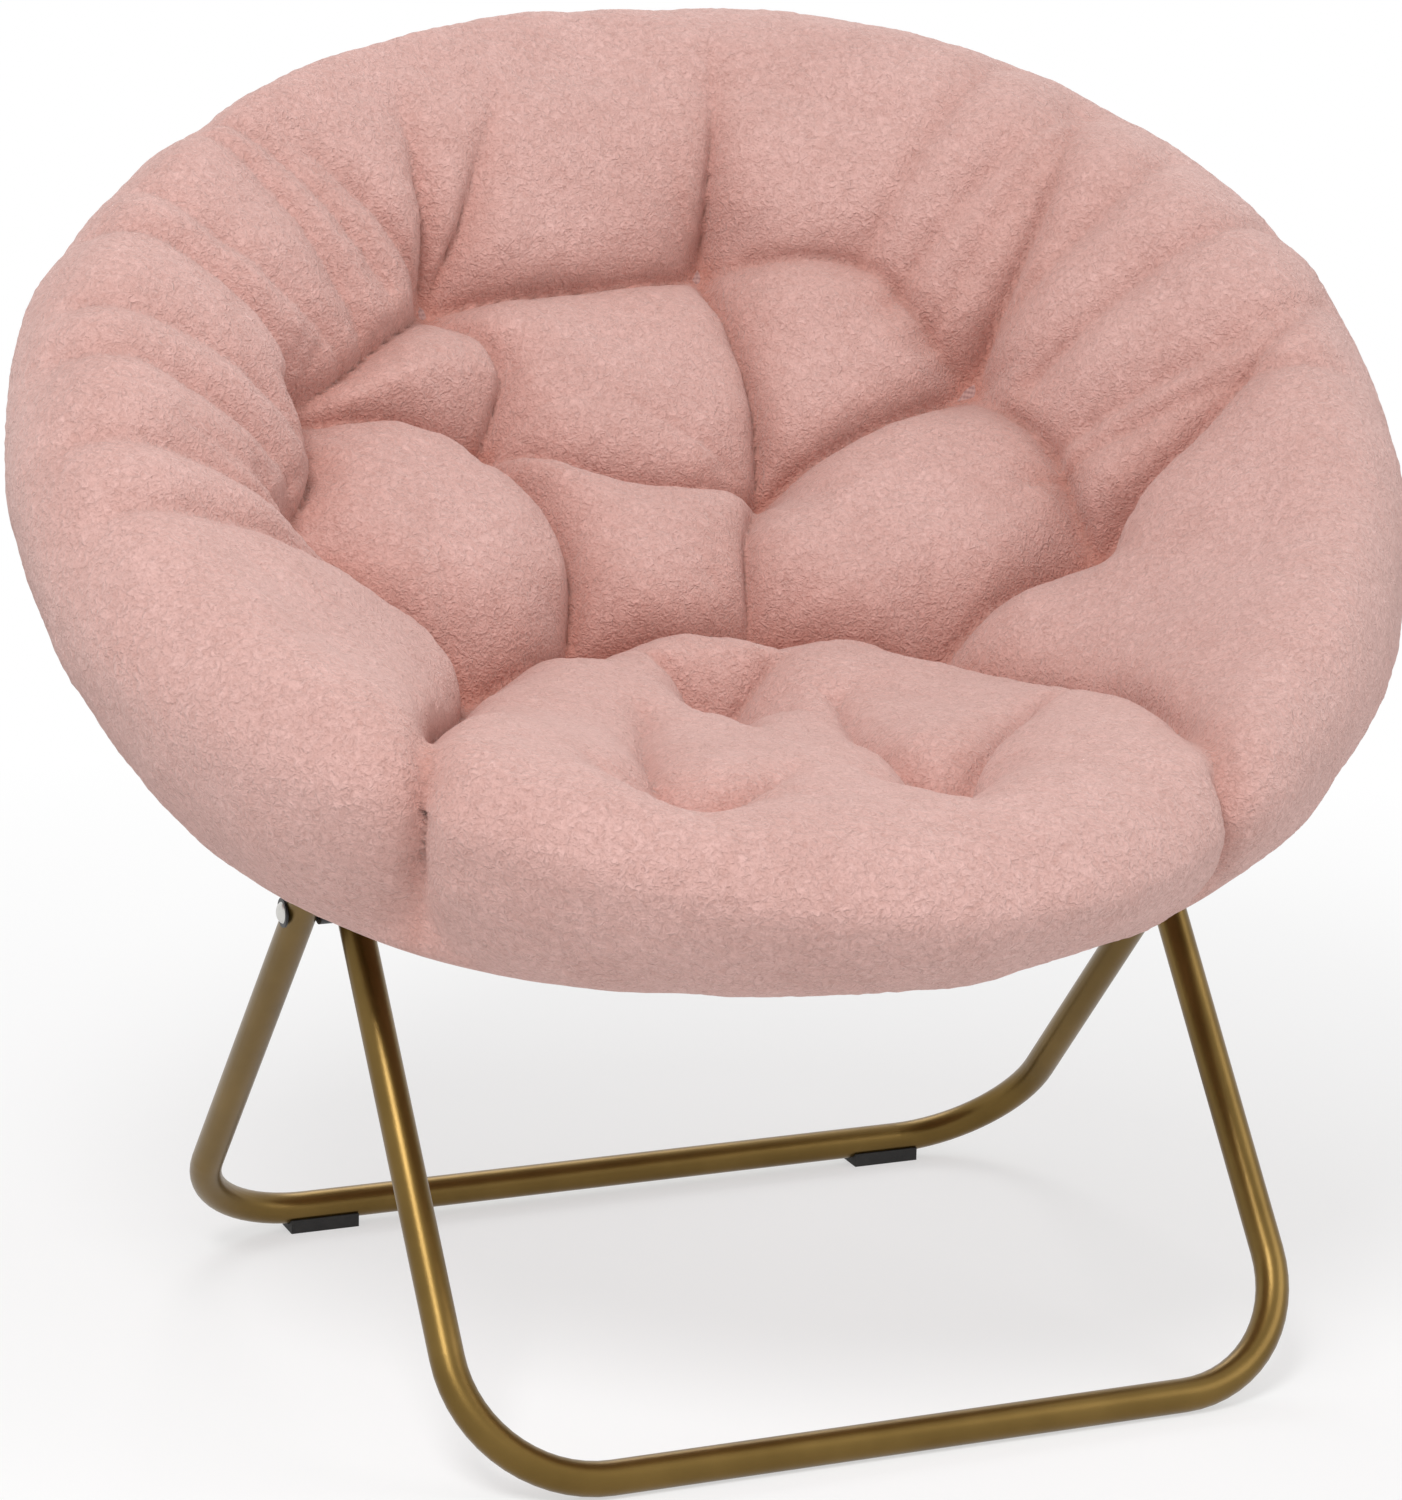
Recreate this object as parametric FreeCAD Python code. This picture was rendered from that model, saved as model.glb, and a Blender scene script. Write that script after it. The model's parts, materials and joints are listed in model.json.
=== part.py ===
import FreeCAD, Part
import math
import os

# Folding saucer chair. Millimetres, +Z up, the sitter faces -Y.
# The origin lies on the floor, under the middle of the whole chair.

os.makedirs("parts", exist_ok=True)

Vec = FreeCAD.Vector
full_turn = 360.0

# Leg frames: two U-shaped steel tubes that cross as an X on each side
tube_d = 22.0
tube_wall = 1.5
front_leg_half_width = 285.0
leg_side_gap = 12.0
leg_corner_radius = 88.0
front_bar_reach = 242.0
rear_bar_reach = 275.0
pivot_height = 316.0
pivot_y = -55.0
foot_pad_thickness = 4.5
foot_pad_length = 50.0
foot_pad_from_leg = 100.0
foot_pad_wrap = 5.0
leg_end_overhang = 10.0
leg_cap_rim = 2.0
leg_cap_rivet_gap = 1.0

# Hoop: one ring of the same tube, split in two halves that fold on a chord
hoop_radius = 402.0
hinge_chord_forward = 130.0
hinge_tube_gap = 28.0
hinge_spigot_length = 16.0
hinge_collar = 4.0
hinge_eye_radius = 9.0
hinge_tongue_shoulder = 5.0
front_lug_reach = 146.0
lug_drop = 28.0
lug_eye_radius = 11.0
plate_thickness = 3.0

# Rivets, washers and the gaps that let parts turn
rivet_d = 8.0
rivet_head_d = 14.0
rivet_head_height = 3.0
rivet_head_flat = 2.0
rivet_dome_height_share = 0.72
rivet_dome_radius_share = 0.7
washer_d = 19.0
washer_thickness = 1.5
shaft_clearance = 0.05
side_clearance = 0.3
fit_clearance = 0.1

# Fabric sleeve that holds the hoop in the cushion
sleeve_thickness = 1.5
sleeve_gap = 0.15
sleeve_end_angle = 7.0
cushion_clearance = 0.35

# Plush saucer cushion: sizes are taken from the middle plane of the hoop
cushion_bulge_front = 74.0
cushion_bulge_side = 82.0
cushion_bulge_rear = 42.0
cushion_crown_front = 34.0
cushion_crown_side = 62.0
cushion_crown_rear = 38.0
cushion_dish_front = 22.0
cushion_dish_side = 40.0
cushion_dish_rear = 38.0
cushion_hang_front = 64.0
cushion_hang_side = 84.0
cushion_hang_rear = 52.0
cushion_bowl_depth = 74.0
cushion_under_depth = 150.0
cushion_core_radius = 6.0
cushion_channel_top = 6.0
cushion_sections = 16
cushion_split_gap = 0.6
leg_pocket_clearance = 5.0
tuft_radius = 46.0
tuft_depth = 20.0

# Sewn tufts, as distance right of the middle and distance behind the hoop's centre
back_tufts = [
    (-134.0, 204.0), (71.0, 227.0), (230.0, 106.0),
    (-263.0, 101.0), (-124.0, 95.0), (67.0, 52.0),
    (261.0, -57.0), (-295.0, -20.0), (-102.0, -73.0), (-189.0, -90.0),
    (24.0, -71.0), (138.0, -90.0),
]
seat_tufts = [(-39.0, -175.0), (-130.0, -270.0), (85.0, -280.0)]

tube_r = tube_d / 2
rear_leg_half_width = front_leg_half_width + tube_d + leg_side_gap
front_lug_x = rear_leg_half_width + tube_r + side_clearance + plate_thickness / 2
rear_lug_x = front_leg_half_width + tube_r + side_clearance + plate_thickness / 2

pivot = Vec(0, pivot_y, pivot_height)
front_bar = Vec(0, pivot_y - front_bar_reach, tube_r)
rear_bar = Vec(0, pivot_y + rear_bar_reach, foot_pad_thickness + tube_r)


def unit(v):
    return Vec(v).normalize()


front_leg_up = unit(pivot - front_bar)
rear_leg_up = unit(pivot - rear_bar)

# The hoop is pulled straight: both lug pivots and the hinge lie on one line
front_lug_from_hinge = math.sqrt(hoop_radius**2 - front_lug_x**2) - hinge_chord_forward
rear_lug_from_hinge = math.sqrt(hoop_radius**2 - rear_lug_x**2) + hinge_chord_forward
front_link = math.hypot(front_lug_from_hinge, lug_drop)
rear_link = math.hypot(rear_lug_from_hinge, lug_drop)
scissor_angle = math.acos(front_leg_up.dot(rear_leg_up))
rear_lug_reach = front_lug_reach * math.cos(scissor_angle) + math.sqrt(
    (front_link + rear_link)**2 - (front_lug_reach * math.sin(scissor_angle))**2
)
front_lug_pivot = pivot + rear_leg_up * front_lug_reach
rear_lug_pivot = pivot + front_leg_up * rear_lug_reach
link_line = unit(rear_lug_pivot - front_lug_pivot)
hinge = front_lug_pivot + link_line * front_link
link_tilt = math.degrees(math.atan2(link_line.z, link_line.y))
front_tilt = link_tilt - math.degrees(math.asin(lug_drop / front_link))
rear_tilt = link_tilt + math.degrees(math.asin(lug_drop / rear_link))
hinge_x = math.sqrt(hoop_radius**2 - hinge_chord_forward**2)
hinge_angle = math.degrees(math.acos(hinge_chord_forward / hoop_radius))
gap_angle = math.degrees(hinge_tube_gap / hoop_radius)


def hoop_place(tilt):
    """Place of a hoop half: local X right, Y back along the hoop, Z out of its plane."""
    turn = FreeCAD.Rotation(Vec(1, 0, 0), tilt)
    start = hinge + turn.multVec(Vec(0, hinge_chord_forward, 0))
    return FreeCAD.Placement(start, turn)


def placed(shape, place):
    result = shape.copy()
    result.transformShape(place.toMatrix())
    return result


def ring_point(angle, radius=hoop_radius, height=0.0):
    """Point on the hoop, where angle 0 is the front and 180 the rear."""
    a = math.radians(angle)
    return Vec(radius * math.sin(a), -radius * math.cos(a), height)


def cylinder_x(radius, x0, x1, y, z):
    return Part.makeCylinder(radius, abs(x1 - x0), Vec(min(x0, x1), y, z), Vec(1, 0, 0))


def swept(path, radius):
    start = path.Edges[0].Vertexes[0].Point
    direction = path.Edges[0].tangentAt(path.Edges[0].FirstParameter)
    ring = Part.Wire(Part.makeCircle(radius, start, direction))
    return path.makePipeShell([ring], True, False)


def tube(path):
    return swept(path, tube_r).cut(swept(path, tube_r - tube_wall))


def leg_path(half_width, up, bar, reach):
    """U of one leg frame: down one side, across the floor bar and up again."""
    bar_point = Vec(0, bar.y, bar.z)
    length = (pivot - bar_point).Length
    top = pivot + up * reach

    def at(side, height):
        return bar_point + Vec(side * half_width, 0, 0) + up * height

    def corner(side):
        centre = bar_point + Vec(side * (half_width - leg_corner_radius), 0, 0)
        centre = centre + up * leg_corner_radius
        a = math.radians(45)
        middle = centre + Vec(side * leg_corner_radius * math.cos(a), 0, 0)
        middle = middle - up * (leg_corner_radius * math.sin(a))
        return middle, centre - up * leg_corner_radius

    left_mid, left_low = corner(-1)
    right_mid, right_low = corner(1)
    top_height = length + reach
    left_top = at(-1, top_height)
    right_top = at(1, top_height)
    left_side = at(-1, leg_corner_radius)
    right_side = at(1, leg_corner_radius)
    return Part.Wire([
        Part.makeLine(left_top, left_side),
        Part.Arc(left_side, left_mid, left_low).toShape(),
        Part.makeLine(left_low, right_low),
        Part.Arc(right_low, right_mid, right_side).toShape(),
        Part.makeLine(right_side, right_top),
    ])


def rivet_hole(side, x0, x1, at):
    return cylinder_x(rivet_d / 2 + shaft_clearance, side * x0, side * x1, at.y, at.z)


def leg_tube(half_width, up, bar, lug_reach):
    body = tube(leg_path(half_width, up, bar, lug_reach + leg_end_overhang))
    lug_at = pivot + up * lug_reach
    for side in (-1, 1):
        for at in (pivot, lug_at):
            hole = rivet_hole(side, half_width - tube_d, half_width + tube_d, at)
            body = body.cut(hole)
    return body


def leg_cap(side, half_width, up, lug_reach):
    """Plastic plug in a leg's open top, with a thin rim over the tube's end."""
    end = pivot + up * (lug_reach + leg_end_overhang) + Vec(side * half_width, 0, 0)
    bore = tube_r - tube_wall - fit_clearance
    depth = leg_end_overhang - rivet_d / 2 - leg_cap_rivet_gap
    plug = Part.makeCylinder(bore, depth, end - up * depth, up)
    rim = Part.makeCylinder(tube_r, leg_cap_rim, end, up)
    return plug.fuse(rim)


def rivet(side, inner_x, outer_x, at, inner_head=True, outer_head=True):
    """Rivet turned about X, between two distances from the middle, with domed heads."""
    shank = rivet_d / 2
    rim = rivet_head_d / 2
    dome = rim * rivet_dome_radius_share

    def p(x, radius):
        return Vec(side * x, at.y + radius, at.z)

    edges = []
    start = p(inner_x, 0)
    if inner_head:
        start = p(inner_x - rivet_head_height, 0)
        flat = p(inner_x - rivet_head_height, rivet_head_flat)
        bulge = p(inner_x - rivet_head_height * rivet_dome_height_share, dome)
        edges.append(Part.makeLine(start, flat))
        edges.append(Part.Arc(flat, bulge, p(inner_x, rim)).toShape())
        edges.append(Part.makeLine(p(inner_x, rim), p(inner_x, shank)))
    else:
        edges.append(Part.makeLine(start, p(inner_x, shank)))
    edges.append(Part.makeLine(p(inner_x, shank), p(outer_x, shank)))
    end = p(outer_x, 0)
    if outer_head:
        end = p(outer_x + rivet_head_height, 0)
        flat = p(outer_x + rivet_head_height, rivet_head_flat)
        bulge = p(outer_x + rivet_head_height * rivet_dome_height_share, dome)
        edges.append(Part.makeLine(p(outer_x, shank), p(outer_x, rim)))
        edges.append(Part.Arc(p(outer_x, rim), bulge, flat).toShape())
        edges.append(Part.makeLine(flat, end))
    else:
        edges.append(Part.makeLine(p(outer_x, shank), end))
    edges.append(Part.makeLine(end, start))
    return Part.Face(Part.Wire(edges)).revolve(Vec(0, at.y, at.z), Vec(side, 0, 0), 360)


def ring_x(side, x0, x1, at, outer_d):
    outer = cylinder_x(outer_d / 2, side * x0, side * x1, at.y, at.z)
    hole = cylinder_x(rivet_d / 2 + shaft_clearance, side * x0, side * x1, at.y, at.z)
    return outer.cut(hole)


def foot_pad(side):
    """Flat black pad under the rear bar, with a hollow for the tube."""
    x = side * (rear_leg_half_width - foot_pad_from_leg)
    low = Vec(x - foot_pad_length / 2, rear_bar.y - tube_r, 0)
    block = Part.makeBox(foot_pad_length, tube_d, foot_pad_thickness + foot_pad_wrap, low)
    saddle = cylinder_x(tube_r, low.x - 1, low.x + foot_pad_length + 1, rear_bar.y, rear_bar.z)
    return block.cut(saddle)


def bent_rod(radius, start, end):
    """Round rod bent along the hoop from one angle to another."""
    a = math.radians(start)
    along = Vec(math.cos(a), math.sin(a), 0)
    disc = Part.Face(Part.Wire([Part.makeCircle(radius, ring_point(start), along)]))
    return disc.revolve(Vec(0, 0, 0), Vec(0, 0, 1), end - start)


def bent_tube(outer, inner, start, end):
    return bent_rod(outer, start, end).cut(bent_rod(inner, start, end))


front_start = hinge_angle - gap_angle
rear_start = hinge_angle + gap_angle


def hoop_tube(start, end, tilt):
    return placed(bent_tube(tube_r, tube_r - tube_wall, start, end), hoop_place(tilt))


def solid_near(shape, point):
    """The one solid of a cut shape that lies nearest to a point."""
    spot = Part.Vertex(point)
    return min(shape.Solids, key=lambda s: s.distToShape(spot)[0])


def lug(side, x, from_hinge, tilt, pivot_at):
    """Plate welded under the hoop, with an eye for the rivet of a leg's top."""
    x0 = side * x - plate_thickness / 2
    place = hoop_place(tilt)
    along = from_hinge - hinge_chord_forward
    eye = Vec(x0, along, -lug_drop)
    disc = Part.makeCylinder(lug_eye_radius, plate_thickness, eye, Vec(1, 0, 0))
    low = Vec(x0, along - lug_eye_radius, -lug_drop)
    web = Part.makeBox(plate_thickness, 2 * lug_eye_radius, lug_drop, low)
    plate = placed(disc.fuse(web).removeSplitter(), place)
    plate = plate.cut(placed(bent_rod(tube_r, 0, full_turn), place))
    plate = solid_near(plate, pivot_at + Vec(side * x, 0, 0))
    hole = cylinder_x(
        rivet_d / 2 + shaft_clearance, x0 - 1, x0 + plate_thickness + 1, pivot_at.y, pivot_at.z
    )
    return plate.cut(hole)


def hinge_fitting(side, direction):
    """Hinge half: a spigot in the hoop's end, a collar and a tongue with an eye."""
    tilt = rear_tilt if direction > 0 else front_tilt
    angle = rear_start if direction > 0 else front_start
    end = ring_point(side * angle)
    a = math.radians(side * angle)
    tangent = Vec(math.cos(a), math.sin(a), 0) * (side * direction)
    bore = tube_r - tube_wall - fit_clearance
    spigot_turn = side * direction * math.degrees(hinge_spigot_length / hoop_radius)
    spigot = bent_rod(bore, side * angle, side * angle + spigot_turn)
    collar = Part.makeCylinder(tube_r, hinge_collar, end - tangent * hinge_collar, tangent)
    near = hinge_x + (side_clearance / 2 if direction > 0 else -side_clearance / 2 - plate_thickness)
    x0 = near if side > 0 else -near - plate_thickness
    eye = Vec(x0, -hinge_chord_forward, 0)
    disc = Part.makeCylinder(hinge_eye_radius, plate_thickness, eye, Vec(1, 0, 0))
    reach = abs(end.y + hinge_chord_forward)
    low_y = -hinge_chord_forward if direction > 0 else -hinge_chord_forward - reach
    low = Vec(x0, low_y, -hinge_eye_radius)
    tongue = Part.makeBox(plate_thickness, reach, 2 * hinge_eye_radius, low)
    beyond = Part.makeCylinder(tube_r + hinge_tongue_shoulder, 2 * tube_d, end, tangent)
    tongue = tongue.cut(beyond)
    body = tongue.fuse([disc, collar, spigot]).removeSplitter()
    hole = Part.makeCylinder(
        rivet_d / 2 + shaft_clearance, plate_thickness + 2, eye - Vec(1, 0, 0), Vec(1, 0, 0)
    )
    return placed(body.cut(hole), hoop_place(tilt))


def sleeve(start, end, tilt):
    """Length of fabric channel that wraps the hoop tube."""
    inner = tube_r + sleeve_gap
    return placed(bent_tube(inner + sleeve_thickness, inner, start, end), hoop_place(tilt))


def around(angle, front, side, rear):
    """A size that changes smoothly from the front of the hoop to its side and rear."""
    c = math.cos(math.radians(angle))
    end = front if c > 0 else rear
    return side * (1 - c * c) + end * c * c


def cushion_section(angle):
    """Closed profile of the cushion in a plane through the hoop's axis."""
    bulge = around(angle, cushion_bulge_front, cushion_bulge_side, cushion_bulge_rear)
    crown = around(angle, cushion_crown_front, cushion_crown_side, cushion_crown_rear)
    hang = around(angle, cushion_hang_front, cushion_hang_side, cushion_hang_rear)
    channel_outer = hoop_radius + tube_r + sleeve_gap + sleeve_thickness + cushion_clearance
    channel_inner = 2 * hoop_radius - channel_outer
    dish = around(angle, cushion_dish_front, cushion_dish_side, cushion_dish_rear)
    outer = hoop_radius + bulge
    rim_in = hoop_radius * 0.63

    def p(radius, height):
        return ring_point(angle, radius, height)

    top_centre = p(cushion_core_radius, -cushion_bowl_depth)
    crown_in = p(rim_in, -dish)
    crown_top = p(hoop_radius * 0.96, crown)
    crown_mid = p(hoop_radius * 0.8, crown * 0.74 - dish * 0.12)
    dish_mid = p(rim_in * 0.55, -cushion_bowl_depth * 0.74 - dish * 0.26)
    widest = p(outer, crown * 0.15)
    low_outer = p(channel_outer + 18, -hang)
    low_inner = p(channel_outer, -cushion_channel_top)
    inner_wall = p(channel_inner, -cushion_channel_top)
    under_mid = p(hoop_radius * 0.62, -cushion_under_depth * 0.53)
    under_centre = p(cushion_core_radius, -cushion_under_depth)
    return Part.Wire([
        Part.Arc(top_centre, dish_mid, crown_in).toShape(),
        Part.Arc(crown_in, crown_mid, crown_top).toShape(),
        Part.Arc(crown_top, p(outer - bulge * 0.2, crown * 0.72), widest).toShape(),
        Part.Arc(widest, p(outer - bulge * 0.13, -hang * 0.6), low_outer).toShape(),
        Part.makeLine(low_outer, low_inner),
        Part.makeLine(low_inner, inner_wall),
        Part.Arc(inner_wall, p(hoop_radius * 0.82, -cushion_under_depth * 0.24), under_mid).toShape(),
        Part.Arc(under_mid, p(hoop_radius * 0.35, -cushion_under_depth * 0.86), under_centre).toShape(),
        Part.makeLine(under_centre, top_centre),
    ])


def cushion_body():
    """Saucer of the whole hoop, in the hoop's own plane: two lofted halves and a core."""
    step = 180.0 / (cushion_sections // 2)
    half = [cushion_section(i * step) for i in range(cushion_sections // 2 + 1)]
    right = Part.makeLoft(half, True, False)
    left = right.mirror(Vec(0, 0, 0), Vec(1, 0, 0))
    core_height = cushion_under_depth - cushion_bowl_depth
    core = Part.makeCylinder(
        cushion_core_radius + 1, core_height, Vec(0, 0, -cushion_under_depth), Vec(0, 0, 1)
    )
    channel_r = tube_r + sleeve_gap + sleeve_thickness + cushion_clearance
    channel = bent_rod(channel_r, 0, full_turn)
    return right.fuse([left, core]).cut(channel)


def top_height(x, y):
    """Height of the cushion's top surface over the hoop's plane at a tuft."""
    angle = math.degrees(math.atan2(x, -y))
    radius = math.hypot(x, y)
    dish_arc, crown_arc = cushion_section(angle).Edges[:2]
    low = ring_point(angle, radius, -2 * cushion_under_depth)
    upright = Part.makeLine(low, ring_point(angle, radius, 2 * cushion_under_depth))
    near = min((dish_arc, crown_arc), key=lambda arc: arc.distToShape(upright)[0])
    return near.distToShape(upright)[1][0][0].z


def dimple(x, y):
    """Round hollow that a sewn tuft pulls into the plush."""
    ball = (tuft_radius**2 + tuft_depth**2) / (2 * tuft_depth)
    return Part.makeSphere(ball, Vec(x, y, top_height(x, y) - tuft_depth + ball))


def cushion(direction, tilt, tufts):
    """One half of the cushion, cut at the fold and clear of the four leg tops."""
    body = cushion_body()
    for x, y in tufts:
        body = body.cut(dimple(x, y))
    body = placed(body, hoop_place(tilt))
    bisector = math.radians((front_tilt + rear_tilt) / 2)
    normal = Vec(0, math.cos(bisector), math.sin(bisector)) * direction
    size = hoop_radius * 4
    block = Part.makeBox(size, size, size, Vec(-size / 2, -size / 2, 0))
    turn = FreeCAD.Rotation(Vec(0, 0, 1), normal)
    base = Vec(0, hinge.y, hinge.z) + normal * (cushion_split_gap / 2)
    keep = placed(block, FreeCAD.Placement(base, turn))
    body = body.common(keep)
    pocket_r = tube_r + leg_pocket_clearance
    for side in (-1, 1):
        for half_width, up, reach in (
            (front_leg_half_width, front_leg_up, rear_lug_reach),
            (rear_leg_half_width, rear_leg_up, front_lug_reach),
        ):
            start = pivot + Vec(side * half_width, 0, 0)
            length = reach + leg_end_overhang + leg_pocket_clearance
            body = body.cut(Part.makeCylinder(pocket_r, length, start, up))
    return max(body.Solids, key=lambda s: s.Volume)


def save(name, shape):
    solids = shape.Solids
    if len(solids) == 1:
        shape = solids[0]
    shape.exportStep("parts/" + name + ".step")
    box = shape.optimalBoundingBox(False, False)
    print("%-26s %d %s %10.1f  Y %.1f..%.1f Z %.1f..%.1f" % (
        name, len(solids), shape.isValid(), shape.Volume, box.YMin, box.YMax, box.ZMin, box.ZMax
    ))


sides = {"left": -1, "right": 1}

save("front_leg_tube", leg_tube(front_leg_half_width, front_leg_up, front_bar, rear_lug_reach))
save("rear_leg_tube", leg_tube(rear_leg_half_width, rear_leg_up, rear_bar, front_lug_reach))
save("front_hoop_tube", hoop_tube(-front_start, front_start, front_tilt))
save("rear_hoop_tube", hoop_tube(rear_start, full_turn - rear_start, rear_tilt))

spacer_inner = front_leg_half_width + tube_r
spacer_outer = rear_leg_half_width - tube_r

for label, side in sides.items():
    # Scissor pivot: one half of the rivet stays with each leg
    outer_face = rear_leg_half_width + tube_r
    save("pivot_spacer_" + label, ring_x(
        side, spacer_inner, spacer_outer - side_clearance, pivot, washer_d
    ))
    save("pivot_rivet_inner_" + label, rivet(
        side, front_leg_half_width - tube_r, spacer_outer - side_clearance, pivot, outer_head=False
    ))
    save("pivot_washer_" + label, ring_x(
        side, outer_face, outer_face + washer_thickness, pivot, washer_d
    ))
    save("pivot_rivet_outer_" + label, rivet(
        side, spacer_outer, outer_face + washer_thickness, pivot, inner_head=False
    ))

    # Leg tops: caps, lugs under the hoop and their rivets
    save("front_leg_cap_" + label, leg_cap(side, front_leg_half_width, front_leg_up, rear_lug_reach))
    save("rear_leg_cap_" + label, leg_cap(side, rear_leg_half_width, rear_leg_up, front_lug_reach))
    save("front_hoop_lug_" + label, lug(
        side, front_lug_x, -front_lug_from_hinge, front_tilt, front_lug_pivot
    ))
    save("rear_hoop_lug_" + label, lug(
        side, rear_lug_x, rear_lug_from_hinge, rear_tilt, rear_lug_pivot
    ))
    save("front_lug_rivet_" + label, rivet(
        side, rear_leg_half_width - tube_r, front_lug_x + plate_thickness / 2, front_lug_pivot
    ))
    save("rear_lug_rivet_" + label, rivet(
        side, front_leg_half_width - tube_r, rear_lug_x + plate_thickness / 2, rear_lug_pivot
    ))

    # Hoop hinge and the pads under the rear bar
    save("hinge_front_half_" + label, hinge_fitting(side, -1))
    save("hinge_rear_half_" + label, hinge_fitting(side, 1))
    save("hinge_rivet_" + label, rivet(
        side,
        hinge_x - side_clearance / 2 - plate_thickness,
        hinge_x + side_clearance / 2 + plate_thickness,
        hinge,
    ))
    save("rear_foot_pad_" + label, foot_pad(side))

front_lug_angle = math.degrees(math.asin(front_lug_x / hoop_radius))
rear_lug_angle = 180 - math.degrees(math.asin(rear_lug_x / hoop_radius))
save("front_rim_sleeve", sleeve(
    sleeve_end_angle - front_lug_angle, front_lug_angle - sleeve_end_angle, front_tilt
))
save("rear_rim_sleeve", sleeve(
    rear_lug_angle + sleeve_end_angle, full_turn - rear_lug_angle - sleeve_end_angle, rear_tilt
))
side_start = hinge_angle + gap_angle + sleeve_end_angle
side_end = rear_lug_angle - sleeve_end_angle
save("side_rim_sleeve_right", sleeve(side_start, side_end, rear_tilt))
save("side_rim_sleeve_left", sleeve(full_turn - side_end, full_turn - side_start, rear_tilt))

save("seat_cushion", cushion(-1, front_tilt, seat_tufts))
save("back_cushion", cushion(1, rear_tilt, back_tufts))

print("scissor pivot", pivot)
print("front lug pivot", front_lug_pivot)
print("rear lug pivot", rear_lug_pivot)
print("hoop hinge", hinge, "half width", hinge_x)
print("tilts", front_tilt, rear_tilt)
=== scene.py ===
import bmesh
import bpy
import json
import numpy as np
from math import cos, pi, radians, sin
from mathutils import Matrix, Vector, noise


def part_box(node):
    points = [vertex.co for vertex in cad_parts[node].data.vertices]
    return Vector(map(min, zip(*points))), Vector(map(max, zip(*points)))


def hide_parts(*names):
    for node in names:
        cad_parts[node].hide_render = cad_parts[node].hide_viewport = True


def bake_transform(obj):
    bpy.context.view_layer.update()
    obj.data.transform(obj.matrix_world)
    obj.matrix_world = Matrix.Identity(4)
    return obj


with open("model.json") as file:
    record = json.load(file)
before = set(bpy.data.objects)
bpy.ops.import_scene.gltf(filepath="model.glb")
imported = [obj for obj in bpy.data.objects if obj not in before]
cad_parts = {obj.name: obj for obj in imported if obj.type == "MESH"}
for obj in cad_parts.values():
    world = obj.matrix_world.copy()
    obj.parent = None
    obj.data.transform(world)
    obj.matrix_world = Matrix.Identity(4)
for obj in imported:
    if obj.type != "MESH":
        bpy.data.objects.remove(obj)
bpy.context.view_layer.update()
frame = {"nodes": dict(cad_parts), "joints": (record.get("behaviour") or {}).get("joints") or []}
nodes = frame["nodes"]


# Leg frames and hoop: 22 mm steel tube, bent cold and powder coated in a satin gold-brown
# with fine metal flake. The lugs and hinge fittings are welded on and coated with them.
def new_material(name):
    material = bpy.data.materials.new(name)
    material.use_nodes = True
    return material, material.node_tree.nodes, material.node_tree.links


def add_node(tree_nodes, kind, **inputs):
    node = tree_nodes.new(kind)
    for socket, value in inputs.items():
        node.inputs[socket.replace("_", " ")].default_value = value
    return node


def new_group(name, inputs, outputs):
    group = bpy.data.node_groups.new(name, "ShaderNodeTree")
    for socket, kind, value in inputs:
        made = group.interface.new_socket(socket, in_out="INPUT", socket_type=kind)
        if value is not None:
            made.default_value = value
    for socket, kind in outputs:
        group.interface.new_socket(socket, in_out="OUTPUT", socket_type=kind)
    return group, group.nodes.new("NodeGroupInput"), group.nodes.new("NodeGroupOutput")


def place_group(tree_nodes, group, **inputs):
    node = tree_nodes.new("ShaderNodeGroup")
    node.node_tree = group
    for socket, value in inputs.items():
        node.inputs[socket.replace("_", " ")].default_value = value
    return node


def surface_grain_group():
    """Fine grain over slow mottling: two masks and a normal, on Object coordinates."""
    group, entry, leave = new_group(
        "surface_grain",
        [
            ("Grain Scale", "NodeSocketFloat", 900.0),
            ("Mottle Scale", "NodeSocketFloat", 14.0),
            ("Depth", "NodeSocketFloat", 0.0002),
        ],
        [("Grain", "NodeSocketFloat"), ("Mottle", "NodeSocketFloat"), ("Normal", "NodeSocketVector")],
    )
    where = group.nodes.new("ShaderNodeTexCoord")
    grain = add_node(group.nodes, "ShaderNodeTexNoise", Detail=3.0)
    mottle = add_node(group.nodes, "ShaderNodeTexNoise", Detail=4.0)
    bump = add_node(group.nodes, "ShaderNodeBump", Strength=0.6)
    link = group.links.new
    link(where.outputs["Object"], grain.inputs["Vector"])
    link(where.outputs["Object"], mottle.inputs["Vector"])
    link(entry.outputs["Grain Scale"], grain.inputs["Scale"])
    link(entry.outputs["Mottle Scale"], mottle.inputs["Scale"])
    link(entry.outputs["Depth"], bump.inputs["Distance"])
    link(grain.outputs["Fac"], bump.inputs["Height"])
    link(grain.outputs["Fac"], leave.inputs["Grain"])
    link(mottle.outputs["Fac"], leave.inputs["Mottle"])
    link(bump.outputs["Normal"], leave.inputs["Normal"])
    return group


surface_grain = surface_grain_group()


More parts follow.
